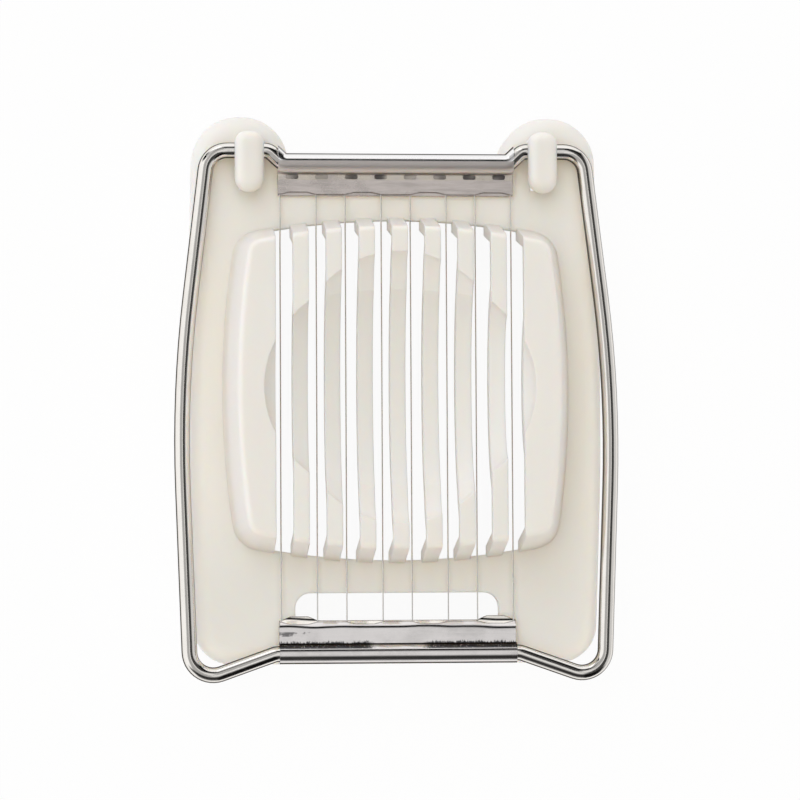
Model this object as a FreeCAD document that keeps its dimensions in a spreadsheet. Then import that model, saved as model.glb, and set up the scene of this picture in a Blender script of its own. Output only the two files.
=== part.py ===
"""Egg slicer: a moulded tray with a slotted egg cradle, and a hinged cutter of bent rod, folded clips and wire.

Millimetres. +Z is up and +Y points to the hinge. The origin is on the table, under the middle of the whole
slicer, with the cutter closed.
"""

import FreeCAD, Part
import math
import os
import re

import Sketcher

# Driving dimensions. Every other length is a formula of these names.
SIZES = {
    # whole slicer
    "overall_length": 124.2,
    "front_overhang": 3.8,
    # tray
    "deck_height": 13.0,
    "tray_wall": 2.0,
    "deck_margin": 7.9,
    "side_crown": 1.9,
    "side_crown_shift": 8.0,
    "side_crown_radius": 700.0,
    "edge_round": 4.0,
    "front_corner": 8.4,
    "lug_radius": 10.3,
    "lug_flat": 0.5,
    "lug_spread": 0.45,
    "lug_depth": 14.6,
    "notch_corner": 2.6,
    # slotted egg cradle
    "slot_count": 8,
    "slot_pitch": 7.15,
    "slot_width": 3.7,
    "cradle_shoulder": 13.0,
    "cradle_half_length": 37.9,
    "cradle_shift": 1.6,
    "cradle_rise": 12.5,
    "cradle_draft": 3.1,
    "cradle_side_bow": 2.9,
    "cradle_end_bow": 3.9,
    "cradle_corner": 6.4,
    "cradle_edge_round": 1.4,
    "slot_sill": 0.6,
    "rib_depth": 3.0,
    "dish_long": 29.4,
    "dish_short": 25.1,
    "dish_depth": 8.6,
    "cross_dish_depth": 6.5,
    "dish_lift": 0.3,
    # finger opening
    "finger_width": 44.6,
    "finger_length": 10.4,
    "finger_bar": 5.1,
    "finger_corner": 3.3,
    # hook fingers that hold the rod
    "hinge_setback": 8.2,
    "hook_inset": 1.75,
    "hook_width": 6.4,
    "hook_tip_flat": 0.2,
    "hook_back": 4.1,
    "hook_back_corner": 2.6,
    "hook_reach": 9.3,
    "hook_top": 3.7,
    "hook_mouth": 1.0,
    "hook_seat": 0.3,
    "hook_root": 0.5,
    "hook_round": 2.2,
    "hook_window": 1.0,
    "hinge_clearance": 0.06,
    # cutter rod
    "rod_diameter": 3.4,
    "rod_side_gap": 1.6,
    "rod_front_gap": 1.1,
    "rod_rear_inset": 2.8,
    "rod_side_radius": 270.0,
    "rod_side_bend": 1.0,
    "rod_rear_corner": 4.8,
    "rod_front_corner": 5.2,
    "rod_corner_drop": 6.54,
    "rod_jog": 2.8,
    "rod_jog_lead": 1.1,
    "rod_jog_run": 3.0,
    "rod_jog_radius": 2.5,
    "rod_bar_lead": 0.75,
    "rod_bar_radius": 3.0,
    "rod_joint_gap": 0.3,
    # folded clips
    "sheet": 0.48,
    "roll_clearance": 0.03,
    "deck_clearance": 0.4,
    "front_clip_setback": 6.2,
    "clip_end": 0.3,
    "rear_flap": 6.6,
    "front_flap": 6.95,
    "flap_lip": 0.25,
    "lip_crown": 0.9,
    "flap_dip": 0.5,
    "wave_round": 2.0,
    "dent_length": 2.8,
    "dent_width": 1.1,
    "dent_corner": 0.4,
    "dent_depth": 0.2,
    "dent_pitch": 6.5,
    "tongue_length": 1.2,
    "tongue_gap": 0.25,
    # cutting wires
    "wire_diameter": 0.3,
    "wire_clearance": 0.02,
    "wire_pair": 7.9,
    "wire_bend": 0.4,
    "wire_tail": 3.0,
}

doc = FreeCAD.newDocument("egg_slicer")
sheet = doc.addObject("Spreadsheet::Sheet", "Dims")
for row, (alias, size) in enumerate(SIZES.items(), start=1):
    sheet.set(f"A{row}", alias)
    sheet.set(f"B{row}", str(size))
    sheet.setAlias(f"B{row}", alias)
doc.recompute()

# Formulae shared by pieces that fit each other.
REAR = "(overall_length / 2)"
FRONT = "(overall_length / 2 - front_overhang)"
ROD = "(rod_diameter / 2)"
ROLL = f"({ROD} + roll_clearance + sheet)"
ROD_Z = f"(deck_height + deck_clearance + {ROLL})"
WIRE_Z = f"({ROD_Z} - {ROLL} + sheet + wire_clearance + wire_diameter / 2)"
LEAF_Z = f"({WIRE_Z} + wire_diameter / 2 + wire_clearance)"
CRADLE_TOP = "(deck_height + cradle_rise)"
CRADLE_HALF = "((slot_count - 1) / 2 * slot_pitch + cradle_shoulder)"
MID_HALF = f"({CRADLE_HALF} + deck_margin)"
END_HALF = f"({MID_HALF} - side_crown)"
LUG_OUTER = f"({END_HALF} + lug_spread)"
LUG_INNER = f"({LUG_OUTER} - 2 * lug_radius - lug_flat)"
HOOK_X = f"({LUG_INNER} + lug_radius + lug_flat / 2 - hook_inset)"
HINGE_Y = f"({REAR} - hinge_setback)"
REAR_CLIP_Y = f"({HINGE_Y} - rod_jog)"
FRONT_CLIP_Y = "(front_clip_setback - overall_length / 2)"
PAIRS = round(SIZES["slot_count"] / 2)
HAIRPINS = [f"(({k} - (slot_count / 2 - 1) / 2) * 2 * slot_pitch)" for k in range(PAIRS)]
OUTER_WIRE = f"({HAIRPINS[-1]} + wire_pair / 2)"
WIRE_BEND_Y = f"({FRONT_CLIP_Y} + front_flap - wire_tail)"
CLIP_HALF = f"({OUTER_WIRE} + wire_diameter / 2 + clip_end)"
SIDES = (("right", 1), ("left", -1))
TOUCH = 0.001


def formula(text):
    """The text with each size's name pointing at its cell in the sheet."""
    return re.sub(r"[a-z_]+", lambda word: f"Dims.{word[0]}" if word[0] in SIZES else word[0], text)


def number(text):
    """The present value of a formula."""
    return float(sheet.evalExpression(text))


def bind(item, name, text):
    """Ties one property of an object to a formula."""
    item.setExpression(name, formula(text))


def new_body(label):
    """An empty body under its own label."""
    body = doc.addObject("PartDesign::Body", label)
    body.Label = label
    return body


def origin_plane(body, role):
    """One of the body's three origin planes."""
    return next(plane for plane in body.Origin.OriginFeatures if plane.Role == role)


def new_sketch(body, name, role, offset="0"):
    """A sketch on one of the body's origin planes, moved along that plane's normal."""
    sketch = body.newObject("Sketcher::SketchObject", name)
    sketch.AttachmentSupport = [(origin_plane(body, role), "")]
    sketch.MapMode = "FlatFace"
    bind(sketch, "AttachmentOffset.Base.z", offset)
    return sketch


def fix_point(sketch, geometry, position, x, y):
    """Locks a sketch point to two formulae, measured from the sketch's origin."""
    for kind, text in (("DistanceX", x), ("DistanceY", y)):
        index = sketch.addConstraint(Sketcher.Constraint(kind, -1, 1, geometry, position, number(text)))
        bind(sketch, f"Constraints[{index}]", text)


def fix_radius(sketch, geometry, text):
    """Locks the radius of an arc or circle to a formula."""
    index = sketch.addConstraint(Sketcher.Constraint("Radius", geometry, number(text)))
    bind(sketch, f"Constraints[{index}]", text)


def draw_circle(sketch, x, y, radius):
    """A circle about a point."""
    centre = FreeCAD.Vector(number(x), number(y), 0)
    geometry = sketch.addGeometry(Part.Circle(centre, FreeCAD.Vector(0, 0, 1), number(radius)))
    fix_point(sketch, geometry, 3, x, y)
    fix_radius(sketch, geometry, radius)


def draw_path(sketch, corners, closed=True):
    """Straight runs through the corners, each (x, y) or, where the corner is rounded, (x, y, radius)."""
    points = [FreeCAD.Vector(number(corner[0]), number(corner[1]), 0) for corner in corners]
    count = len(corners)
    entry = list(points)
    leave = list(points)
    rounds = {}
    for k, corner in enumerate(corners):
        if len(corner) == 3:
            before = (points[k - 1] - points[k]).normalize()
            after = (points[(k + 1) % count] - points[k]).normalize()
            half_angle = before.getAngle(after) / 2
            radius = number(corner[2])
            entry[k] = points[k] + before * (radius / math.tan(half_angle))
            leave[k] = points[k] + after * (radius / math.tan(half_angle))
            centre = points[k] + (before + after).normalize() * (radius / math.sin(half_angle))
            rounds[k] = Part.Circle(centre, FreeCAD.Vector(0, 0, 1), radius), before.cross(after).z < 0
    lines = []
    for k in range(count if closed else count - 1):
        lines.append(sketch.addGeometry(Part.LineSegment(leave[k], entry[(k + 1) % count])))
    for k, corner in enumerate(corners):
        starts = closed or k < count - 1
        ends = closed or k > 0
        if k in rounds:
            circle, left_turn = rounds[k]
            first, last = (entry[k], leave[k]) if left_turn else (leave[k], entry[k])
            arc = sketch.addGeometry(Part.ArcOfCircle(circle, circle.parameter(first), circle.parameter(last)))
            vertex = sketch.addGeometry(Part.Point(points[k]), True)
            arc_in, arc_out = (1, 2) if left_turn else (2, 1)
            sketch.addConstraint(Sketcher.Constraint("Tangent", lines[k - 1], 2, arc, arc_in))
            sketch.addConstraint(Sketcher.Constraint("Tangent", arc, arc_out, lines[k], 1))
            sketch.addConstraint(Sketcher.Constraint("PointOnObject", vertex, 1, lines[k - 1]))
            sketch.addConstraint(Sketcher.Constraint("PointOnObject", vertex, 1, lines[k]))
            fix_point(sketch, vertex, 1, corner[0], corner[1])
            fix_radius(sketch, arc, corner[2])
        elif starts:
            if ends:
                sketch.addConstraint(Sketcher.Constraint("Coincident", lines[k - 1], 2, lines[k], 1))
            fix_point(sketch, lines[k], 1, corner[0], corner[1])
        else:
            fix_point(sketch, lines[k - 1], 2, corner[0], corner[1])


def meeting_point(first, first_reach, second, second_reach):
    """The point at given distances from two centres, on the left of the way from the first to the second."""
    along = (second - first).normalize()
    gap = first.distanceToPoint(second)
    run = (gap ** 2 + first_reach ** 2 - second_reach ** 2) / (2 * gap)
    rise = math.sqrt(first_reach ** 2 - run ** 2)
    return first + along * run + FreeCAD.Vector(-along.y, along.x, 0) * rise


def draw_barrel(sketch, inset):
    """The cradle's outline, moved inwards by an inset: bowed sides and ends with tangent round corners."""
    half_x = f"({CRADLE_HALF} - cradle_side_bow)"
    half_y = "(cradle_half_length - cradle_end_bow)"
    side_radius = f"(({half_y} ^ 2 + cradle_side_bow ^ 2) / (2 * cradle_side_bow))"
    end_radius = f"(({half_x} ^ 2 + cradle_end_bow ^ 2) / (2 * cradle_end_bow))"
    side_x = f"({CRADLE_HALF} - {side_radius})"
    end_y = f"(cradle_half_length - {end_radius})"
    side = FreeCAD.Vector(number(side_x), 0, 0)
    end = FreeCAD.Vector(0, number(end_y), 0)
    reaches = [number(f"{radius} - cradle_corner") for radius in (side_radius, end_radius)]
    corner = meeting_point(side, reaches[0], end, reaches[1])
    mirrored = FreeCAD.Vector(-corner.x, corner.y, 0)
    low = math.atan2(corner.y, corner.x - side.x)
    high = math.atan2(corner.y - end.y, corner.x)
    outline = []
    for way, turn in ((1, 0), (-1, math.pi)):
        outline += [
            (side * way, side_radius, turn - low, turn + low),
            (corner * way, "cradle_corner", turn + low, turn + high),
            (end * way, end_radius, turn + high, turn + math.pi - high),
            (mirrored * way, "cradle_corner", turn + math.pi - high, turn + math.pi - low),
        ]
    middle = FreeCAD.Vector(0, number("cradle_shift"), 0)
    arcs = []
    for centre, radius, first, last in outline:
        circle = Part.Circle(middle + centre, FreeCAD.Vector(0, 0, 1), number(f"{radius} - {inset}"))
        arcs.append(sketch.addGeometry(Part.ArcOfCircle(circle, first, last)))
    for k, arc in enumerate(arcs):
        sketch.addConstraint(Sketcher.Constraint("Tangent", arcs[k - 1], 2, arc, 1))
        fix_radius(sketch, arc, f"{outline[k][1]} - {inset}")
    fix_point(sketch, arcs[0], 3, side_x, "cradle_shift")
    fix_point(sketch, arcs[2], 3, "0", f"cradle_shift + {end_y}")
    fix_point(sketch, arcs[4], 3, f"-{side_x}", "cradle_shift")
    fix_point(sketch, arcs[6], 3, "0", f"cradle_shift - {end_y}")


def draw_block(sketch, low_x, high_x, low_y, high_y):
    """A plain rectangle."""
    draw_path(sketch, [(low_x, low_y), (high_x, low_y), (high_x, high_y), (low_x, high_y)])


def pad(body, sketch, length, both_ways=False):
    """Adds a sketch's prism, along its normal or half each way."""
    feature = body.newObject("PartDesign::Pad", f"{sketch.Name}_pad")
    feature.Profile = sketch
    feature.SideType = "Symmetric" if both_ways else "One side"
    bind(feature, "Length", length)
    return feature


def pocket(body, sketch, length, both_ways=False):
    """Cuts a sketch's prism, against its normal or half each way, and stops if it takes nothing away."""
    doc.recompute()
    before = body.Shape.Volume
    feature = body.newObject("PartDesign::Pocket", f"{sketch.Name}_cut")
    feature.Profile = sketch
    feature.SideType = "Symmetric" if both_ways else "One side"
    bind(feature, "Length", length)
    doc.recompute()
    if not body.Shape.Volume < before:
        raise RuntimeError(f"{feature.Name} cuts nothing")
    return feature


def pipe(body, kind, section, spine):
    """Sweeps a section along a spine, adding or cutting it, with mitres at the spine's sharp corners."""
    feature = body.newObject(f"PartDesign::{kind}Pipe", f"{section.Name}_sweep")
    feature.Profile = section
    feature.Transition = "Right corner"
    doc.recompute()
    feature.Spine = (spine, [f"Edge{k}" for k in range(1, len(spine.Shape.Edges) + 1)])
    return feature


def round_edges(body, name, radius, wanted):
    """Fillets the edges of a body's tip that pass a test."""
    doc.recompute()
    base = body.Tip
    names = [f"Edge{k}" for k, edge in enumerate(base.Shape.Edges, start=1) if wanted(edge.BoundBox)]
    feature = body.newObject("PartDesign::Fillet", name)
    feature.Base = (base, names)
    bind(feature, "Radius", radius)
    return feature


def lies_at(box, height):
    """Whether an edge's box is flat, at a height."""
    return abs(box.ZMin - height) < TOUCH and abs(box.ZMax - height) < TOUCH


def tray_corners(inset):
    """The tray's outline, moved inwards by an inset: bowed sides, two rear lugs and a notch between them."""
    half = [
        (f"({END_HALF} - {inset})", f"{inset} - {FRONT}", f"front_corner - {inset}"),
        (f"({MID_HALF} - {inset})", "-side_crown_shift", "side_crown_radius"),
        (f"({LUG_OUTER} - {inset})", f"{REAR} - {inset}", f"lug_radius - {inset}"),
        (f"({LUG_INNER} + {inset})", f"{REAR} - {inset}", f"lug_radius - {inset}"),
        (f"({LUG_INNER} + {inset})", f"{REAR} - lug_depth - {inset}", f"notch_corner + {inset}"),
    ]
    return half + [(f"-{x}", y, radius) for x, y, radius in reversed(half)]


def dish(body, name, role, grow, depth, along, across):
    """Cuts an ellipsoid, grown by a thickness, into the cradle's top along the normal of an origin plane."""
    bowl = body.newObject("PartDesign::SubtractiveEllipsoid", name)
    bind(bowl, "Radius1", f"dish_long + {grow}")
    bind(bowl, "Radius2", f"dish_short + {grow}")
    bind(bowl, "Radius3", f"{depth} + dish_lift + {grow}")
    bowl.Angle1 = -90
    bowl.Angle2 = 90
    bind(bowl, "AttachmentOffset.Base.x", across)
    bind(bowl, "AttachmentOffset.Base.y", f"{CRADLE_TOP} + dish_lift")
    bind(bowl, "AttachmentOffset.Base.z", along)
    bowl.AttachmentSupport = [(origin_plane(body, role), "")]
    bowl.MapMode = "FlatFace"
    doc.recompute()


def dishes(body, name, grow):
    """The egg's two seats, a deep one across the wires and a shallower one along them."""
    dish(body, f"{name}_across", "YZ_Plane", grow, "dish_depth", "0", "cradle_shift")
    dish(body, f"{name}_along", "XZ_Plane", grow, "cross_dish_depth", "-cradle_shift", "0")


def cradle_block(body, name, foot, top, inset):
    """The cradle's barrel-shaped block between two heights, with its walls leaning in."""
    low = new_sketch(body, f"{name}_foot", "XY_Plane", foot)
    draw_barrel(low, inset)
    high = new_sketch(body, f"{name}_top", "XY_Plane", top)
    draw_barrel(high, f"({inset} + cradle_draft)")
    block = body.newObject("PartDesign::AdditiveLoft", name)
    block.Profile = low
    block.Sections = [high]
    block.Ruled = True
    return block


def hook(body, side, sign):
    """One hook finger: it stands behind the rod, arches over it and hides the window that its mould needs."""
    low_x = f"({sign} * {HOOK_X} - hook_width / 2)"
    high_x = f"({sign} * {HOOK_X} + hook_width / 2)"
    tip = f"({HINGE_Y} - hook_reach)"
    tip_round = "(hook_width - hook_tip_flat) / 2"
    back = f"({HINGE_Y} + hook_back)"
    plan = new_sketch(body, f"{side}_hook", "XY_Plane", "deck_height - hook_root")
    draw_path(plan, [(low_x, tip, tip_round), (high_x, tip, tip_round),
                     (high_x, back, "hook_back_corner"), (low_x, back, "hook_back_corner")])
    pad(body, plan, f"{ROD_Z} + hook_top - deck_height + hook_root")
    round_edges(body, f"{side}_hook_round", "hook_round",
                lambda box: lies_at(box, number(f"{ROD_Z} + hook_top")) and box.Center.x * sign > 0)
    seat = f"({HINGE_Y} - hook_seat)"
    mouth = new_sketch(body, f"{side}_mouth", "XY_Plane", f"{ROD_Z} + hook_mouth")
    draw_path(mouth, [(low_x, tip, tip_round), (high_x, tip, tip_round), (high_x, seat), (low_x, seat)])
    pocket(body, mouth, f"{ROD_Z} + hook_mouth - deck_height")
    window = new_sketch(body, f"{side}_window", "XY_Plane", "deck_height")
    draw_block(window, f"({low_x} + hook_window)", f"({high_x} - hook_window)", f"({tip} + hook_window)", seat)
    pocket(body, window, "2 * tray_wall")
    bore = new_sketch(body, f"{side}_bore", "YZ_Plane", f"{high_x} + hook_root")
    draw_circle(bore, HINGE_Y, ROD_Z, f"{ROD} + hinge_clearance")
    pocket(body, bore, "hook_width + 2 * hook_root")


def make_tray():
    """The moulding: an outer form less its core, with the slots cut through the cradle."""
    outer = new_body("tray_outer")
    outline = new_sketch(outer, "tray_outline", "XY_Plane")
    draw_path(outline, tray_corners("0"))
    pad(outer, outline, "deck_height")
    round_edges(outer, "deck_round", "edge_round", lambda box: lies_at(box, number("deck_height")))
    cradle_block(outer, "cradle", "deck_height", CRADLE_TOP, "0")
    round_edges(outer, "cradle_top_round", "cradle_edge_round", lambda box: lies_at(box, number(CRADLE_TOP)))
    dishes(outer, "dish", "0")
    finger = new_sketch(outer, "finger_opening", "XY_Plane", "deck_height")
    low_y = f"(finger_bar - {FRONT})"
    high_y = f"({low_y} + finger_length)"
    half = "(finger_width / 2)"
    draw_path(finger, [(f"-{half}", low_y, "finger_corner"), (half, low_y, "finger_corner"),
                       (half, high_y, "finger_corner"), (f"-{half}", high_y, "finger_corner")])
    pocket(outer, finger, "deck_height")
    for side, sign in SIDES:
        hook(outer, side, sign)

    core = new_body("tray_core")
    inside = new_sketch(core, "core_outline", "XY_Plane", "-tray_wall")
    draw_path(inside, tray_corners("tray_wall"))
    pad(core, inside, "deck_height")
    cradle_block(core, "cradle_core", "deck_height - 2 * tray_wall", f"{CRADLE_TOP} - tray_wall", "tray_wall")
    dishes(core, "dish_shell", "rib_depth")

    reach = new_body("slot_reach")
    through = new_sketch(reach, "slot_ends", "XY_Plane", "-tray_wall")
    draw_barrel(through, "slot_sill")
    pad(reach, through, "deck_height + tray_wall")
    above = new_sketch(reach, "slot_mouths", "XY_Plane", "deck_height")
    draw_barrel(above, "(-slot_sill)")
    pad(reach, above, "cradle_rise + tray_wall")
    slots = []
    for k in range(round(number("slot_count"))):
        slot = doc.addObject("Part::Box", f"slot_{k + 1}")
        bind(slot, "Length", "slot_width")
        bind(slot, "Width", "2 * (cradle_half_length + slot_sill)")
        bind(slot, "Height", f"{CRADLE_TOP} + 2 * tray_wall")
        bind(slot, "Placement.Base.x", f"({k} - (slot_count - 1) / 2) * slot_pitch - slot_width / 2")
        bind(slot, "Placement.Base.y", "cradle_shift - cradle_half_length - slot_sill")
        bind(slot, "Placement.Base.z", "-tray_wall")
        slots.append(slot)
    comb = doc.addObject("Part::Compound", "slot_comb")
    comb.Links = slots
    cutters = doc.addObject("Part::Common", "slot_cutters")
    cutters.Base = comb
    cutters.Tool = reach
    hollow = doc.addObject("Part::Cut", "hollow_tray")
    hollow.Base = outer
    hollow.Tool = core
    tray = doc.addObject("Part::Cut", "base_tray")
    tray.Base = hollow
    tray.Tool = cutters
    tray.Refine = True
    return tray


def jog_corners():
    """The rod's line across the hinge side: from one journal, in to the clip and out to the other."""
    journal = f"({HOOK_X} - hook_width / 2 - rod_jog_lead)"
    straight = f"({journal} - rod_jog_run)"
    right = [(journal, HINGE_Y, "rod_jog_radius"), (straight, REAR_CLIP_Y, "rod_jog_radius")]
    return right + [(f"-{x}", y, radius) for x, y, radius in reversed(right)]


def make_rod():
    """One rod bent round the cutter, with its ends meeting inside the front clip."""
    rod = new_body("frame_rod")
    bar_end = f"({CLIP_HALF} + rod_bar_lead)"
    end = f"({END_HALF} + rod_front_gap)"
    widest = f"({MID_HALF} + rod_side_gap)"
    rear = f"({END_HALF} - rod_rear_inset)"
    right = [
        (bar_end, FRONT_CLIP_Y, "rod_bar_radius"),
        (end, f"{FRONT_CLIP_Y} - rod_corner_drop", "rod_front_corner"),
        (widest, "rod_side_bend", "rod_side_radius"),
        (rear, HINGE_Y, "rod_rear_corner"),
    ]
    left = [(f"-{x}", y, radius) for x, y, radius in reversed(right)]
    start = "rod_joint_gap / 2"
    spine = new_sketch(rod, "rod_line", "XY_Plane", ROD_Z)
    ends = [(start, FRONT_CLIP_Y)], [(f"-{start}", FRONT_CLIP_Y)]
    draw_path(spine, ends[0] + right + jog_corners() + left + ends[1], closed=False)
    section = new_sketch(rod, "rod_section", "YZ_Plane", start)
    draw_circle(section, FRONT_CLIP_Y, ROD_Z, ROD)
    pipe(rod, "Additive", section, spine)
    return rod


def make_roll(clip, kind, line, radius):
    """Adds or cuts a round bar along a line that starts and ends along X."""
    name = f"{clip.Name}_{kind.lower()}"
    spine = new_sketch(clip, f"{name}_line", "XY_Plane", ROD_Z)
    draw_path(spine, line, closed=False)
    section = new_sketch(clip, f"{name}_section", "YZ_Plane", line[0][0])
    draw_circle(section, line[0][1], ROD_Z, radius)
    pipe(clip, kind, section, spine)


def make_leaf(clip, name, level, root, edge, wave="0", middles=()):
    """A flat leaf of sheet from the roll to its edge, which swells or dips by a wave at the given middles."""
    far = [(f"-{CLIP_HALF}", edge)]
    for middle in middles:
        crest = f"({edge} + {wave})"
        far += [
            (f"({middle} - wire_pair / 2)", edge, "wave_round"),
            (f"({middle} - wire_pair / 4)", crest, "wave_round"),
            (f"({middle} + wire_pair / 4)", crest, "wave_round"),
            (f"({middle} + wire_pair / 2)", edge, "wave_round"),
        ]
    plan = new_sketch(clip, name, "XY_Plane", level)
    draw_path(plan, far + [(CLIP_HALF, edge), (CLIP_HALF, root), (f"-{CLIP_HALF}", root)])
    pad(clip, plan, "sheet")


def make_rear_clip():
    """The hinge-side clip: its roll follows the rod's bend, and a row of dents pinches the wires' tails."""
    clip = new_body("rear_clip")
    tail = (f"({HOOK_X} - hook_width / 2)", HINGE_Y)
    line = [tail] + jog_corners() + [(f"-{tail[0]}", HINGE_Y)]
    make_roll(clip, "Additive", line, ROLL)
    edge = f"({REAR_CLIP_Y} - rear_flap)"
    make_leaf(clip, "rear_lower_leaf", f"{ROD_Z} - {ROLL}", REAR_CLIP_Y, f"({edge} - flap_lip)")
    make_leaf(clip, "rear_upper_leaf", LEAF_Z, REAR_CLIP_Y, edge, "flap_dip", HAIRPINS)
    make_roll(clip, "Subtractive", line, f"{ROD} + roll_clearance")
    trim = new_sketch(clip, "rear_clip_ends", "XY_Plane", ROD_Z)
    for _, sign in SIDES:
        ends = sorted((f"{sign} * {CLIP_HALF}", f"{sign} * {HOOK_X}"), key=number)
        draw_block(trim, *ends, f"({REAR_CLIP_Y} - {ROLL})", f"({HINGE_Y} + 2 * {ROLL})")
    pocket(clip, trim, f"4 * {ROLL}", both_ways=True)
    dents = new_sketch(clip, "rear_dents", "XY_Plane", f"{LEAF_Z} + sheet")
    near = f"({REAR_CLIP_Y} - {ROLL} - dent_width)"
    for k in range(round(number("slot_count"))):
        middle = f"({k} - (slot_count - 1) / 2) * dent_pitch"
        low_x = f"({middle} - dent_length / 2)"
        high_x = f"({middle} + dent_length / 2)"
        draw_path(dents, [(low_x, near, "dent_corner"), (high_x, near, "dent_corner"),
                          (high_x, f"{near} + dent_width", "dent_corner"),
                          (low_x, f"{near} + dent_width", "dent_corner")])
    pocket(clip, dents, "dent_depth")
    return clip


def make_front_clip():
    """The handle-side clip: arched lips at its ends, and a tongue between the leaves inside each hairpin."""
    clip = new_body("front_clip")
    line = [(CLIP_HALF, FRONT_CLIP_Y), (f"-{CLIP_HALF}", FRONT_CLIP_Y)]
    make_roll(clip, "Additive", line, ROLL)
    edge = f"({FRONT_CLIP_Y} + front_flap)"
    lip = f"({edge} + flap_lip)"
    arched = (HAIRPINS[0], HAIRPINS[-1])
    make_leaf(clip, "front_lower_leaf", f"{ROD_Z} - {ROLL}", FRONT_CLIP_Y, lip, "lip_crown", arched)
    make_leaf(clip, "front_upper_leaf", LEAF_Z, FRONT_CLIP_Y, edge, "-flap_dip", HAIRPINS)
    tongues = new_sketch(clip, "front_tongues", "XY_Plane", f"{ROD_Z} - {ROLL} + sheet / 2")
    reach = "(wire_pair / 2 - wire_diameter / 2 - tongue_gap)"
    near = f"({WIRE_BEND_Y} + wire_diameter / 2 + tongue_gap)"
    for middle in HAIRPINS:
        draw_block(tongues, f"({middle} - {reach})", f"({middle} + {reach})", near, f"{near} + tongue_length")
    pad(clip, tongues, f"{LEAF_Z} - {ROD_Z} + {ROLL}")
    make_roll(clip, "Subtractive", line, f"{ROD} + roll_clearance")
    return clip


def make_wire(number_along, middle):
    """One hairpin of cutting wire: tails in the rear clip, and a bend round a tongue of the front clip."""
    name = f"wire_loop_{number_along}"
    loop = new_body(name)
    low_x = f"({middle} - wire_pair / 2)"
    high_x = f"({middle} + wire_pair / 2)"
    tail = f"({REAR_CLIP_Y} - rear_flap + wire_tail)"
    spine = new_sketch(loop, f"{name}_line", "XY_Plane", WIRE_Z)
    turn = f"({WIRE_BEND_Y} + wire_bend)"
    draw_path(spine, [(low_x, tail), (low_x, turn), (f"({low_x} + wire_bend)", WIRE_BEND_Y),
                      (f"({high_x} - wire_bend)", WIRE_BEND_Y), (high_x, turn), (high_x, tail)], closed=False)
    section = new_sketch(loop, f"{name}_section", "XZ_Plane", f"-{tail}")
    draw_circle(section, low_x, WIRE_Z, "wire_diameter / 2")
    pipe(loop, "Additive", section, spine)
    return loop


def check(parts):
    """Stops unless every object was built and every sub-part is one valid solid."""
    for item in doc.Objects:
        if "Invalid" in item.State or "Error" in item.State:
            raise RuntimeError(f"{item.Name} failed: {item.State}")
    for part in parts:
        if part.Shape.isNull() or not part.Shape.isValid() or len(part.Shape.Solids) != 1:
            raise RuntimeError(f"{part.Label} is not one valid solid")


parts = [make_tray(), make_rod(), make_rear_clip(), make_front_clip()]
parts += [make_wire(k, middle) for k, middle in enumerate(HAIRPINS, start=1)]
doc.recompute()
check(parts)
os.makedirs("parts", exist_ok=True)
for part in parts:
    part.Shape.exportStep(f"parts/{part.Label}.step")
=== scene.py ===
"""Looks of the egg slicer: ivory moulding, polished rod, folded steel clips and fine cutting wires."""

import logging
from dataclasses import dataclass
from enum import Enum
from typing import Any, Sequence, Union

import bpy
from mathutils import Euler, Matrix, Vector

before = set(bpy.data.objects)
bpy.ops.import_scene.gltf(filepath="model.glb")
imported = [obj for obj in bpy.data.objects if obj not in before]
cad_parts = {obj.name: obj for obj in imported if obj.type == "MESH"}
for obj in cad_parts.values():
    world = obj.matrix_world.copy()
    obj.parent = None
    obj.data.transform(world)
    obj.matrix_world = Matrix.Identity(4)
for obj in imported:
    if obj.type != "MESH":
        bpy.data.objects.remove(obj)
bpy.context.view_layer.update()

LOG = logging.getLogger("egg_slicer")
MM = 0.001
# How many ways a softened edge, or the openness that sets the painted warm shade, looks from each point.
PROBES = 6
# The value about which noise varies.
NOISE_MIDDLE = 0.5
Colour = tuple[float, float, float]
Triple = tuple[float, float, float]
Span = tuple[float, float]
WHITE: Colour = (1.0, 1.0, 1.0)


class Axis(Enum):
    """The axes of a place or a direction."""

    X = "X"
    Y = "Y"
    Z = "Z"


class Ray(Enum):
    """The kinds of ray that show the background."""

    STRAIGHT = "Is Camera Ray"
    MIRRORED = "Is Glossy Ray"
    PASSED = "Is Transmission Ray"


class Slot(Enum):
    """The material slots."""

    IVORY = "ivory_plastic"
    ROD = "rod_steel"
    CLIP = "clip_steel"
    WIRE = "wire_steel"


class Signal:
    """A socket of a node tree that can be used in sums as if it were a number."""

    def __init__(self, graph: "Graph", socket: bpy.types.NodeSocket) -> None:
        """Wraps an output socket of that graph."""
        self.graph = graph
        self.socket = socket

    def _math(self, operation: str, *values: "Value") -> "Signal":
        """The result of one Math node on those values, in order."""
        return self.graph.node("ShaderNodeMath", {"operation": operation}, dict(enumerate(values)))

    def __add__(self, other: "Value") -> "Signal":
        """This plus the other."""
        return self._math("ADD", self, other)

    def __radd__(self, other: "Value") -> "Signal":
        """The other plus this."""
        return self._math("ADD", other, self)

    def __sub__(self, other: "Value") -> "Signal":
        """This less the other."""
        return self._math("SUBTRACT", self, other)

    def __rsub__(self, other: "Value") -> "Signal":
        """The other less this."""
        return self._math("SUBTRACT", other, self)

    def __mul__(self, other: "Value") -> "Signal":
        """This times the other."""
        return self._math("MULTIPLY", self, other)

    def __rmul__(self, other: "Value") -> "Signal":
        """The other times this."""
        return self._math("MULTIPLY", other, self)

    def highest(self, other: "Value") -> "Signal":
        """The larger of this and the other."""
        return self._math("MAXIMUM", self, other)

    def ramp(self, low: float, high: float, start: float = 0.0, end: float = 1.0) -> "Signal":
        """Eases from start, where this is low, to end, where this is high."""
        sockets = {0: self, 1: low, 2: high, 3: start, 4: end}
        return self.graph.node("ShaderNodeMapRange", {"interpolation_type": "SMOOTHSTEP"}, sockets)


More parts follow.
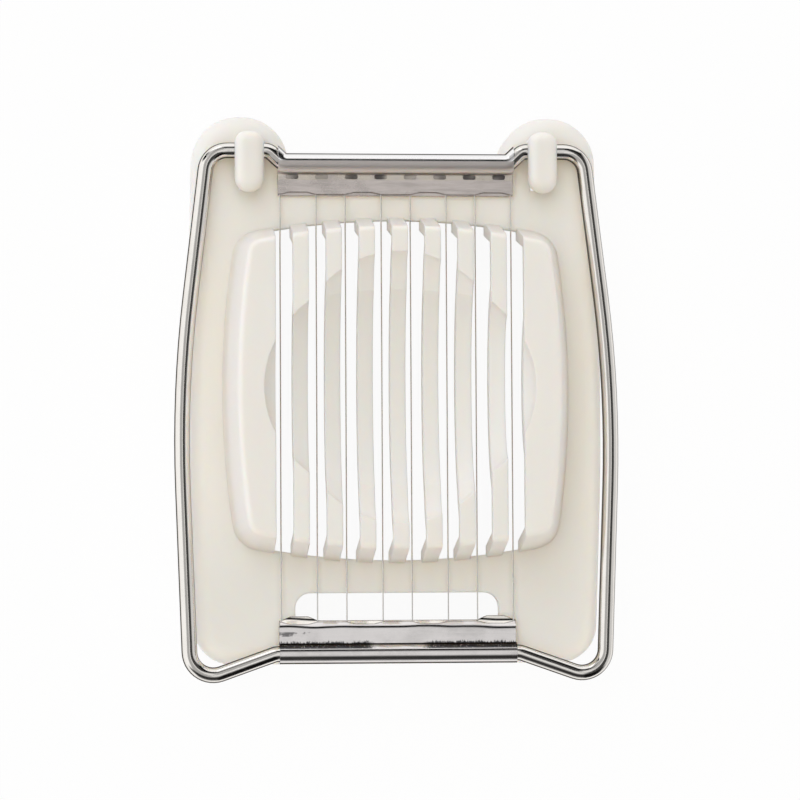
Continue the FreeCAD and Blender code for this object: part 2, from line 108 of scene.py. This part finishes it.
Value = Union[float, Sequence[float], Signal]


@dataclass(frozen=True)
class Noise:
    """Cloudy noise with patches of one size, in metres.

    A stretch under 1 draws the patches out along that axis. Detail is the number of finer layers, and rough
    is how strong they are. The levels are the noise where a patch starts and where it is full, and after
    them, if they aren't 0 and 1, the strength of the patch at each.
    """

    size: float
    stretch: Triple = (1.0, 1.0, 1.0)
    detail: float = 2.0
    rough: float = 0.5
    levels: tuple[float, ...] = (0.0, 1.0)


class Graph:
    """A node tree and the one way to add nodes to it."""

    def __init__(self, tree: bpy.types.NodeTree) -> None:
        """Takes a node tree to fill, and empties it."""
        self.tree = tree
        tree.nodes.clear()

    def node(self, kind: str, settings: dict[str, Any], sockets: dict[Any, Value],
             output: Union[str, int] = 0) -> Signal:
        """Adds a node.

        Args:
            kind: the node's type.
            settings: its own properties, set first.
            sockets: the value or link of each input, by name or number.
            output: the output to return, by name or number.

        Returns:
            The chosen output.
        """
        made = self.tree.nodes.new(kind)
        for name, setting in settings.items():
            setattr(made, name, setting)
        for name, value in sockets.items():
            if isinstance(value, Signal):
                self.tree.links.new(value.socket, made.inputs[name])
            else:
                made.inputs[name].default_value = value
        return Signal(self, made.outputs[output])

    def axis(self, vector: Signal, axis: Axis) -> Signal:
        """One part of a vector."""
        return self.node("ShaderNodeSeparateXYZ", {}, {0: vector}, axis.value)

    def dot(self, first: Value, second: Value) -> Signal:
        """The dot product of two vectors."""
        sockets = {0: first, 1: second}
        return self.node("ShaderNodeVectorMath", {"operation": "DOT_PRODUCT"}, sockets, "Value")

    def ray(self, kind: Ray) -> Signal:
        """1 for rays of one kind, 0 for others."""
        return self.node("ShaderNodeLightPath", {}, {}, kind.value)

    def seen(self) -> Signal:
        """1 for rays that show the background: straight, mirrored or passed through."""
        return self.ray(Ray.STRAIGHT).highest(self.ray(Ray.MIRRORED)).highest(self.ray(Ray.PASSED))

    def at(self, axis: Axis) -> Signal:
        """The point's place along one of the object's own axes, in metres."""
        return self.axis(self.node("ShaderNodeTexCoord", {}, {}, "Object"), axis)

    def facing(self, axis: Axis) -> Signal:
        """How far the surface faces along one of the object's own axes."""
        return self.axis(self.node("ShaderNodeTexCoord", {}, {}, "Normal"), axis)

    def noise(self, noise: Noise) -> Signal:
        """Adds a noise over the object's own places.

        Args:
            noise: its measures.

        Returns:
            A value near one half.
        """
        own = self.node("ShaderNodeTexCoord", {}, {}, "Object")
        place = self.node("ShaderNodeVectorMath", {"operation": "MULTIPLY"}, {0: own, 1: noise.stretch})
        return self.node("ShaderNodeTexNoise", {}, {
            "Vector": place,
            "Scale": 1 / noise.size,
            "Detail": noise.detail,
            "Roughness": noise.rough,
        })

    def patches(self, noise: Noise) -> Signal:
        """The noise cut at its levels into soft patches."""
        return self.noise(noise).ramp(*noise.levels)

    def sway(self, noise: Noise) -> Signal:
        """The noise as a swing to either side of zero."""
        return self.noise(noise) - NOISE_MIDDLE

    def grey(self, value: Signal) -> Signal:
        """A grey of that brightness."""
        return self.node("ShaderNodeCombineColor", {}, {0: value, 1: value, 2: value})

    def add(self, value: Value, factor: Value, sum_so_far: Value) -> Signal:
        """A colour times another, added to a third."""
        sockets = {0: value, 1: factor, 2: sum_so_far}
        return self.node("ShaderNodeVectorMath", {"operation": "MULTIPLY_ADD"}, sockets)

    def mix(self, factor: Value, first: Value, second: Value) -> Signal:
        """Mixes two colours, with the factor as the share of the second."""
        sockets = {"Factor": factor, 6: rgba(first), 7: rgba(second)}
        return self.node("ShaderNodeMix", {"data_type": "RGBA"}, sockets, 2)

    def bump(self, height: Signal, depth: float, normal: Signal) -> Signal:
        """The normal bent by a height from 0 to 1, where 1 is that depth in metres."""
        sockets = {"Height": height, "Distance": depth, "Strength": 1.0, "Normal": normal}
        return self.node("ShaderNodeBump", {}, sockets)

    def edges(self, radius: float, likeness: Span = (0.99, 0.8)) -> tuple[Signal, Signal]:
        """Softens the edges.

        Args:
            radius: the radius of the softened edge, in metres.
            likeness: how alike the softened and the sharp normal are where the mask starts and is full.

        Returns:
            The softened normal, and a mask that is near 1 on the edges.
        """
        soft = self.node("ShaderNodeBevel", {"samples": PROBES}, {"Radius": radius})
        sharp = self.node("ShaderNodeNewGeometry", {}, {}, "Normal")
        return soft, self.dot(soft, sharp).ramp(*likeness)

    def finish(self, kind: str, shader: Signal) -> None:
        """Links a shader to a new output node of that kind."""
        made = self.tree.nodes.new(kind)
        self.tree.links.new(shader.socket, made.inputs["Surface"])

    def surface(self, sockets: dict[str, Value]) -> None:
        """Adds the main shader, with those values and links, and the material's output."""
        self.finish("ShaderNodeOutputMaterial", self.node("ShaderNodeBsdfPrincipled", {}, sockets))


def rgba(colour: Value) -> Value:
    """A plain colour with its alpha, or a link as it is."""
    return colour if isinstance(colour, Signal) else (*colour, 1.0)


def new_material(name: str) -> tuple[bpy.types.Material, Graph]:
    """Makes an empty node material.

    Args:
        name: its name.

    Returns:
        The material and its graph.
    """
    material = bpy.data.materials.new(name)
    material.use_nodes = True
    return material, Graph(material.node_tree)


@dataclass(frozen=True)
class IvoryPlastic:
    """Moulded ivory plastic with a soft gloss, slightly worn edges and painted warm shade in its hollows.

    A share is how much of a colour shows at most, and a dulling is the most roughness that a pattern adds.
    """

    name: str = "ivory_moulding"
    colour: Colour = (0.835, 0.81, 0.765)
    roughness: float = 0.34
    cloud: Colour = (0.81, 0.78, 0.72)
    cloud_share: float = 0.35
    cloud_dulling: float = 0.10
    clouds: Noise = Noise(26 * MM, detail=3, levels=(0.35, 0.75))
    # Painted warm shade: a warmer colour mixed in where the surface is enclosed, as ambient occlusion finds
    # it.
    painted_warm_shade: Colour = (0.93, 0.84, 0.71)
    painted_warm_shade_share: float = 0.7
    painted_shade_reach: float = 14 * MM
    painted_shade_openness: Span = (0.82, 0.3)
    worn: Colour = (0.87, 0.85, 0.81)
    worn_share: float = 0.5
    edge: float = 0.5 * MM
    scuffs: Noise = Noise(3.5 * MM, (1, 0.35, 1), detail=5, rough=0.65, levels=(0.55, 0.8))
    scuff_dulling: float = 0.08
    grain: Noise = Noise(0.55 * MM)
    grain_dulling: float = 0.05
    grain_depth: float = 0.006 * MM
    ior: float = 1.5
    glow: float = 0.45
    glow_radius: Triple = (1.0, 0.62, 0.36)
    glow_scale: float = 3.0 * MM

    def material(self) -> bpy.types.Material:
        """Makes the finish.

        Returns:
            The finish as a material.
        """
        material, graph = new_material(self.name)
        soft, wear = graph.edges(self.edge)
        clouds = graph.patches(self.clouds)
        scuffs = graph.patches(self.scuffs)
        grain = graph.noise(self.grain)
        probes, reach = {"samples": PROBES}, {"Distance": self.painted_shade_reach}
        sky = graph.node("ShaderNodeAmbientOcclusion", probes, reach, "AO")
        colour = graph.mix(clouds * self.cloud_share, self.colour, self.cloud)
        # Painted warm shade in the hollows.
        colour = graph.mix(sky.ramp(*self.painted_shade_openness) * self.painted_warm_shade_share, colour, self.painted_warm_shade)
        dulling = self.cloud_dulling * clouds + self.scuff_dulling * scuffs + self.grain_dulling * grain
        graph.surface({
            "Base Color": graph.mix(wear * self.worn_share, colour, self.worn),
            "Roughness": self.roughness + dulling,
            "Normal": graph.bump(grain, self.grain_depth, soft),
            "IOR": self.ior,
            "Subsurface Weight": self.glow,
            "Subsurface Radius": self.glow_radius,
            "Subsurface Scale": self.glow_scale,
        })
        return material


@dataclass(frozen=True)
class Steel:
    """Stainless steel, drawn or rolled, with fine grain, slow waves, handling smudges and a painted dark
    reflection along the flanks.

    The flank's spans are how far the surface faces up, or right for the last, where the painted dark
    reflection fades.
    """

    name: str
    colour: Colour
    smudge: Colour
    roughness: float
    grain_dulling: float
    grain: Noise
    grain_depth: float = 0.002 * MM
    waves: Noise = Noise(4 * MM, detail=1)
    wave_depth: float = 0.02 * MM
    smudges: Noise = Noise(9 * MM, detail=4, rough=0.6, levels=(0.42, 0.72))
    smudge_share: float = 0.6
    smudge_dulling: float = 0.06
    edge: float = 0.08 * MM
    edge_dulling: float = 0.05
    rim: Colour = (0.04, 0.04, 0.04)
    # Painted dark reflection: a dark colour along the flanks, standing in for the dark room the steel
    # mirrors.
    painted_flank_reflection: Colour = (0.10, 0.085, 0.07)
    painted_flank_reflection_share: float = 0.85
    flank_top: Span = (0.62, 0.42)
    flank_foot: Span = (-0.1, 0.12)
    flank_right: Span = (0.75, 0.4)

    def dull(self, graph: Graph) -> Value:
        """The roughness this finish's own places add, of which plain steel has none."""
        return 0.0

    def bend(self, graph: Graph, normal: Signal) -> Signal:
        """The normal with this finish's own folds, of which plain steel has none."""
        return normal

    def flank(self, graph: Graph) -> Signal:
        """A line of painted dark reflection along the flanks, except on the right."""
        up, right = graph.facing(Axis.Z), graph.facing(Axis.X)
        return up.ramp(*self.flank_top) * up.ramp(*self.flank_foot) * right.ramp(*self.flank_right)

    def marks(self, graph: Graph, colour: Signal) -> Signal:
        """The colour with this finish's own marks, of which plain steel has none."""
        return colour

    def material(self) -> bpy.types.Material:
        """Makes the finish.

        Returns:
            The finish as a material.
        """
        material, graph = new_material(self.name)
        soft, wear = graph.edges(self.edge)
        lines = graph.noise(self.grain)
        smudges = graph.patches(self.smudges)
        waves = graph.bump(graph.noise(self.waves), self.wave_depth, soft)
        colour = self.marks(graph, graph.mix(smudges * self.smudge_share, self.colour, self.smudge))
        dulling = self.grain_dulling * lines + self.smudge_dulling * smudges + self.edge_dulling * wear
        graph.surface({
            # The flank line is painted dark reflection.
            "Base Color": graph.mix(self.flank(graph) * self.painted_flank_reflection_share, colour, self.painted_flank_reflection),
            "Metallic": 1.0,
            "Roughness": self.roughness + dulling + self.dull(graph),
            "Normal": graph.bump(lines, self.grain_depth, self.bend(graph, waves)),
            "Specular Tint": rgba(self.rim),
        })
        return material


@dataclass(frozen=True)
class PinchedSheet(Steel):
    """The rear clip's sheet: a roll with real polish and a painted highlight at the rear, a brushed leaf,
    and a pale row with a painted reflection of the tray and painted shade in its dents.
    """

    # Brighter colour on the roll's rear half: real polish and painted highlight.
    polish_and_highlight: Colour = (0.95, 0.94, 0.94)
    crown: float = 51.45 * MM
    shoulder: Colour = (0.97, 0.90, 0.86)
    shoulder_foot: float = 48.95 * MM
    shoulder_dulling: float = 0.25
    brushed: Colour = (0.62, 0.57, 0.54)
    brushed_share: float = 0.6
    brush: Noise = Noise(1.1 * MM, (0.12, 1, 1), detail=5, rough=0.7, levels=(0.42, 0.72))
    leaf_dulling: float = 0.1
    # Pale cream patches along the row: painted reflection of the ivory tray.
    painted_tray_reflection: Colour = (0.90, 0.82, 0.70)
    tray_reflection_share: float = 0.8
    tray_reflection_patches: Noise = Noise(3 * MM, detail=3, levels=(0.3, 0.6))
    row: Span = (47.6 * MM, 49.0 * MM)
    # Near-black colour in the dents: painted shade.
    painted_dent_shade: Colour = (0.10, 0.09, 0.09)
    dent_shade_patches: Noise = Noise(5 * MM, levels=(0.3, 0.65, 0.3, 0.95))
    dent: Span = (14.6 * MM, 14.55 * MM)
    fade: float = 0.15 * MM

    def crest(self, graph: Graph) -> Signal:
        """1 on the roll's rear half, with its polish and painted highlight, 0 on its front half and the
        leaf.
        """
        return graph.at(Axis.Y).ramp(self.crown - self.fade, self.crown + self.fade)

    def slope(self, graph: Graph) -> Signal:
        """1 on the roll's dull front half."""
        start = graph.at(Axis.Y).ramp(self.shoulder_foot - self.fade, self.shoulder_foot + self.fade)
        return start * (1 - self.crest(graph))

    def dull(self, graph: Graph) -> Value:
        """The extra roughness in front of the crown, and more of it on the roll's front half."""
        return (1 - self.crest(graph)) * self.leaf_dulling + self.slope(graph) * self.shoulder_dulling

    def flank(self, graph: Graph) -> Signal:
        """A line of painted dark reflection along the roll's rear only."""
        return super().flank(graph) * self.crest(graph)

    def marks(self, graph: Graph, colour: Signal) -> Signal:
        """Adds the brushed leaf, the roll's polish and painted highlight, the painted reflection of the tray
        along the row and the painted shade in its dents.

        Args:
            graph: the material's graph.
            colour: the plain sheet's colour.

        Returns:
            The marked colour.
        """
        along = graph.at(Axis.Y)
        low, high = self.row
        row = along.ramp(low - self.fade, low + self.fade) * along.ramp(high + self.fade, high - self.fade)
        sunk = graph.at(Axis.Z).ramp(*self.dent)
        colour = graph.mix(graph.patches(self.brush) * self.brushed_share, colour, self.brushed)
        # Real polish and painted highlight on the roll's rear half.
        colour = graph.mix(self.crest(graph), colour, self.polish_and_highlight)
        colour = graph.mix(self.slope(graph), colour, self.shoulder)
        # Painted reflection of the tray along the row.
        colour = graph.mix(row * graph.patches(self.tray_reflection_patches) * self.tray_reflection_share, colour, self.painted_tray_reflection)
        # Painted shade in the dents.
        return graph.mix(row * sunk * graph.patches(self.dent_shade_patches), colour, self.painted_dent_shade)


@dataclass(frozen=True)
class FoldedSheet(Steel):
    """The front clip's sheet: painted dark reflection in jagged streaks in the fold and in patches at the
    leaf's left end, and a lip with a painted pale reflection and painted shade along its edges.
    """

    # Near-black painted dark reflection, in the fold and at the leaf's left end.
    painted_fold_reflection: Colour = (0.03, 0.03, 0.035)
    painted_fold_reflection_share: float = 0.95
    fold: Span = (-54.8 * MM, -53.35 * MM)
    fold_fade: float = 0.08 * MM
    fold_middle: Span = (4.5 * MM, 7.0 * MM)
    jags: Noise = Noise(0.2 * MM, (1, 0.2, 0.2), detail=3, rough=0.8)
    jag_reach: float = 2.2 * MM
    jag_spread: float = 4 * MM
    jag_fade: float = 0.16 * MM
    swells: Noise = Noise(2.5 * MM, (1, 0.1, 0.1))
    swell_reach: float = 0.8 * MM
    specks: Noise = Noise(0.3 * MM, (1, 0.5, 0.5), levels=(0.3, 0.42, 0.5, 1.0))
    # Patches of the same painted dark reflection at the leaf's left end.
    end_reflection_patches: Noise = Noise(1.6 * MM, (0.5, 1, 1), detail=4, rough=0.7, levels=(0.47, 0.6))
    end_reflection_share: float = 0.75
    end_reflection_row: Span = (-52.3 * MM, -51.1 * MM)
    end_reflection_fade: float = 0.24 * MM
    end_reflection_reach: Span = (-17.5 * MM, -20.0 * MM)
    # Pale colour on the lip: painted reflection.
    lip: Colour = (0.97, 0.93, 0.87)
    lip_level: Span = (14.0 * MM, 13.92 * MM)
    # Dark colour along the leaf's edges: painted shade.
    painted_edge_shade: Colour = (0.16, 0.12, 0.09)
    painted_edge_shade_share: float = 0.85
    outline_width: float = 0.5 * MM
    outline_likeness: Span = (0.995, 0.9)
    outline_start: Span = (-49.8 * MM, -49.48 * MM)
    roll: Span = (-50.7 * MM, -47.9 * MM)
    roll_drop: float = 1.1 * MM
    roll_wander: Noise = Noise(15 * MM, (1, 0, 0), detail=1)
    roll_reach: float = 1.8 * MM

    def bend(self, graph: Graph, normal: Signal) -> Signal:
        """The normal with the leaf's edge rolled down in a slow wave."""
        along = graph.at(Axis.Y) + graph.sway(self.roll_wander) * self.roll_reach
        return graph.bump(along.ramp(*self.roll, 1.0, 0.0), self.roll_drop, normal)

    def fold_reflection(self, graph: Graph) -> Signal:
        """Finds the jagged streaks of painted dark reflection, which leave the middle of the fold clear.

        Args:
            graph: the material's graph.

        Returns:
            A mask that is near 1 on the streaks.
        """
        across, along = graph.at(Axis.X), graph.at(Axis.Y)
        jags = graph.sway(self.jags)
        reach = along + jags * self.jag_reach + graph.sway(self.swells) * self.swell_reach
        outward = (across.highest(0 - across) + jags * self.jag_spread).ramp(*self.fold_middle)
        low, high = self.fold
        front = along.ramp(low - self.fold_fade, low + self.fold_fade)
        inside = front * reach.ramp(high, high - self.jag_fade)
        return inside * outward * graph.patches(self.specks) * self.painted_fold_reflection_share

    def end_reflection(self, graph: Graph) -> Signal:
        """Finds the patches of painted dark reflection at the leaf's left end.

        Args:
            graph: the material's graph.

        Returns:
            A mask that is near 1 on the patches.
        """
        along = graph.at(Axis.Y)
        low, high = self.end_reflection_row
        row = along.ramp(low, low + self.end_reflection_fade) * along.ramp(high, high - self.end_reflection_fade)
        return row * graph.patches(self.end_reflection_patches) * graph.at(Axis.X).ramp(*self.end_reflection_reach) * self.end_reflection_share

    def marks(self, graph: Graph, colour: Signal) -> Signal:
        """Adds the painted pale reflection on the lip, the painted shade along the edges and the painted
        dark reflection in patches and streaks.

        Args:
            graph: the material's graph.
            colour: the plain sheet's colour.

        Returns:
            The marked colour.
        """
        rims = graph.edges(self.outline_width, self.outline_likeness)[1]
        rims = rims * graph.at(Axis.Y).ramp(*self.outline_start)
        # Painted pale reflection on the lip.
        colour = graph.mix(graph.at(Axis.Z).ramp(*self.lip_level), colour, self.lip)
        # Painted shade along the edges.
        colour = graph.mix(rims * self.painted_edge_shade_share, colour, self.painted_edge_shade)
        # Painted dark reflection in patches and streaks.
        return graph.mix(self.end_reflection(graph).highest(self.fold_reflection(graph)), colour, self.painted_fold_reflection)


@dataclass(frozen=True)
class PaleFloor:
    """A white floor that stays white in view and keeps a faint shadow."""

    name: str = "studio_floor"
    colour: Colour = (0.9, 0.9, 0.9)
    shown: float = 0.93

    def material(self) -> bpy.types.Material:
        """Makes the finish.

        Returns:
            The finish as a material.
        """
        material, graph = new_material(self.name)
        matte = graph.node("ShaderNodeBsdfDiffuse", {}, {"Color": rgba(self.colour)})
        white = graph.node("ShaderNodeEmission", {}, {"Color": rgba(WHITE), "Strength": 1.0})
        shader = graph.node("ShaderNodeMixShader", {}, {0: graph.seen() * self.shown, 1: matte, 2: white})
        graph.finish("ShaderNodeOutputMaterial", shader)
        return material


@dataclass(frozen=True)
class Lobe:
    """A soft patch of coloured light around one direction of the room."""

    toward: Triple
    colour: Colour
    reach: Span = (0.55, 1.0)

    def light(self, graph: Graph, way: Signal) -> Signal:
        """How much of the patch shows along a direction."""
        return graph.dot(way, self.toward).ramp(*self.reach)


@dataclass(frozen=True)
class Skyline(Lobe):
    """A soft patch of light that lies low, along one side of the room."""

    reach: Span = (0.4, 0.95)
    height: Span = (0.35, 0.0)

    def light(self, graph: Graph, way: Signal) -> Signal:
        """How much of the patch shows along a direction."""
        return super().light(graph, way) * graph.axis(way, Axis.Z).ramp(*self.height)


@dataclass(frozen=True)
class MirroredRoom:
    """The room that polished steel shows: bright to the left and rear, pale overhead, dark in front.

    Each span is where a panel's edge fades in, as the part of a direction that points right, rearward or up.
    """

    ceiling: float = 0.42
    ceiling_right: Span = (0.11, 0.2)
    dim: float = 0.05
    strip: float = 0.8
    strip_left: Span = (-0.02, 0.03)
    strip_right: Span = (0.2, 0.12)
    strip_rear: Span = (0.42, 0.32)
    strip_front: Span = (-0.42, -0.32)
    left_wall: Span = (-0.42, -0.6)
    right_wall: Span = (0.6, 0.8)
    right_light: float = 0.65
    rear_gap: Span = (0.45, 0.55)
    rear_wall: Span = (0.72, 0.82)
    front_wall: Span = (-0.42, -0.6)
    front_height: Span = (0.12, 0.36)
    front_dark: float = 0.92

    def light(self, graph: Graph, way: Signal) -> Signal:
        """Lights the room.

        Args:
            graph: the world's graph.
            way: the direction looked along.

        Returns:
            The brightness.
        """
        right, rear, up = (graph.axis(way, axis) for axis in Axis)
        strip = right.ramp(*self.strip_left) * right.ramp(*self.strip_right)
        strip = strip * (rear.ramp(*self.strip_rear) * rear.ramp(*self.strip_front)) * self.strip
        ceiling = right.ramp(*self.ceiling_right, self.ceiling, self.dim)
        above = ceiling.highest(right.ramp(*self.left_wall)).highest(strip) * (1 - rear.ramp(*self.rear_gap))
        round_about = above.highest(right.ramp(*self.right_wall) * self.right_light)
        front = rear.ramp(*self.front_wall) * up.ramp(*self.front_height)
        return round_about.highest(rear.ramp(*self.rear_wall)) * (1 - self.front_dark * front)


@dataclass(frozen=True)
class Piece:
    """A group of the slicer's CAD nodes that share a finish."""

    nodes: tuple[str, ...]
    slot: Slot
    finish: Union[IvoryPlastic, Steel]

    def dress(self) -> None:
        """Gives every node of the group its finish."""
        material = self.finish.material()
        for name in self.nodes:
            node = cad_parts[name]
            node.data.materials.clear()
            node.data.materials.append(material)
            LOG.info("dressed %s in %s", name, material.name)


@dataclass(frozen=True)
class Studio:
    """Floor, soft light and the camera."""

    floor_half: float = 3.0
    lobes: tuple[Lobe, ...] = (
        Lobe((0.0, 0.0, 1.0), (1.24, 1.19, 1.08), (0.4, 1.0)),
        Lobe((-0.36, 0.7, 0.62), (0.78, 0.88, 1.06)),
        Lobe((-0.64, -0.45, 0.62), (0.28, 0.24, 0.2)),
        Skyline((1.0, 0.0, 0.0), (2.55, 2.65, 2.95)),
        Skyline((-1.0, 0.0, 0.0), (1.8, 2.0, 2.5)),
        Skyline((0.0, 1.0, 0.0), (1.9, 1.35, 0.95)),
        Skyline((0.0, -1.0, 0.0), (3.3, 3.05, 2.95)),
    )
    mirrored: MirroredRoom = MirroredRoom()
    key_place: Triple = (-0.5, 0.9, 0.75)
    key_size: float = 0.7
    key_power: float = 0.8
    camera_place: Triple = (-58.477 * MM, -40.931 * MM, 732.076 * MM)
    camera_turn: Triple = (0.05628, -0.082, -0.00548)
    camera_near: float = 10 * MM
    lens_pixels: float = 3296.47
    image_pixels: float = 800.0
    sensor: float = 36.0

    def build_floor(self) -> None:
        """Lays the floor under the slicer."""
        half = self.floor_half
        corners = [(-half, -half, 0), (half, -half, 0), (half, half, 0), (-half, half, 0)]
        mesh = bpy.data.meshes.new("floor")
        mesh.from_pydata(corners, [], [(0, 1, 2, 3)])
        mesh.materials.append(PaleFloor().material())
        floor = bpy.data.objects.new("floor", mesh)
        bpy.context.scene.collection.objects.link(floor)
        LOG.info("laid the floor")

    def build_world(self) -> None:
        """Surrounds the scene with white, soft light from all round and a room for the steel to mirror."""
        world = bpy.data.worlds.new("studio")
        bpy.context.scene.world = world
        world.use_nodes = True
        graph = Graph(world.node_tree)
        way = graph.node("ShaderNodeTexCoord", {}, {}, "Generated")
        light: Value = (0.0, 0.0, 0.0)
        for lobe in self.lobes:
            light = graph.add(graph.grey(lobe.light(graph, way)), lobe.colour, light)
        mirrored = graph.grey(self.mirrored.light(graph, way))
        room = graph.mix(graph.ray(Ray.MIRRORED), WHITE, mirrored)
        colour = graph.mix(graph.seen(), light, room)
        back = graph.node("ShaderNodeBackground", {}, {"Color": colour, "Strength": 1.0})
        graph.finish("ShaderNodeOutputWorld", back)
        LOG.info("lit the room")

    def build_key(self) -> None:
        """Hangs the soft key light behind the hinge, to the left."""
        light = bpy.data.lights.new("key", "AREA")
        light.shape = "SQUARE"
        light.size = self.key_size
        light.energy = self.key_power
        key = bpy.data.objects.new("key", light)
        key.location = self.key_place
        key.rotation_euler = (-Vector(self.key_place)).to_track_quat("-Z", "Y").to_euler()
        bpy.context.scene.collection.objects.link(key)
        LOG.info("hung the key light")

    def build_camera(self) -> None:
        """Places the camera nearly straight above, a little to the left and front."""
        lens = bpy.data.cameras.new("camera")
        lens.sensor_fit = "HORIZONTAL"
        lens.sensor_width = self.sensor
        lens.lens = self.lens_pixels / self.image_pixels * self.sensor
        lens.clip_start = self.camera_near
        camera = bpy.data.objects.new("camera", lens)
        camera.location = self.camera_place
        camera.rotation_euler = Euler(self.camera_turn, "XYZ")
        bpy.context.scene.collection.objects.link(camera)
        bpy.context.scene.camera = camera
        bpy.context.scene.view_settings.view_transform = "Standard"
        LOG.info("placed the camera")

    def build(self) -> None:
        """Builds the whole studio."""
        self.build_floor()
        self.build_world()
        self.build_key()
        self.build_camera()


@dataclass(frozen=True)
class Tray:
    """The tray: one moulding with the slotted cradle and the hooks for the cutter."""

    moulding: Piece = Piece(("base_tray",), Slot.IVORY, IvoryPlastic())

    def dress(self) -> None:
        """Dresses the moulding."""
        self.moulding.dress()


@dataclass(frozen=True)
class Cutter:
    """The cutter: the bent rod, the clips folded over it and the wires strung between them."""

    rod: Piece = Piece(("frame_rod",), Slot.ROD, Steel(
        "polished_rod",
        colour=(0.90, 0.87, 0.83),
        smudge=(0.82, 0.785, 0.74),
        roughness=0.05,
        grain_dulling=0.08,
        grain=Noise(0.5 * MM, detail=4, rough=0.6),
    ))
    rear_clip: Piece = Piece(("rear_clip",), Slot.CLIP, PinchedSheet(
        "pinched_sheet",
        colour=(0.86, 0.78, 0.74),
        smudge=(0.76, 0.69, 0.65),
        roughness=0.08,
        grain_dulling=0.12,
        grain=Noise(0.4 * MM, (0.06, 1, 1), detail=4, rough=0.6),
    ))
    front_clip: Piece = Piece(("front_clip",), Slot.CLIP, FoldedSheet(
        "folded_sheet",
        colour=(0.82, 0.79, 0.78),
        smudge=(0.74, 0.71, 0.70),
        roughness=0.06,
        grain_dulling=0.10,
        grain=Noise(0.4 * MM, (0.06, 1, 1), detail=4, rough=0.6),
    ))
    wires: Piece = Piece(("wire_loop_1", "wire_loop_2", "wire_loop_3", "wire_loop_4"), Slot.WIRE, Steel(
        "drawn_wire",
        colour=(0.93, 0.91, 0.88),
        smudge=(0.84, 0.82, 0.78),
        roughness=0.16,
        grain_dulling=0.12,
        grain=Noise(0.2 * MM, (1, 0.1, 1), detail=4, rough=0.6),
        rim=(0.4, 0.4, 0.4),
        # The wires get no painted dark reflection.
        painted_flank_reflection_share=0.0,
    ))

    def dress(self) -> None:
        """Dresses the rod, then the clips, then the wires."""
        for piece in (self.rod, self.rear_clip, self.front_clip, self.wires):
            piece.dress()


def main() -> None:
    """Builds the studio, then dresses the tray and the cutter."""
    logging.basicConfig(level=logging.INFO, format="%(name)s: %(message)s")
    Studio().build()
    Tray().dress()
    Cutter().dress()


if __name__ == "__main__":
    main()
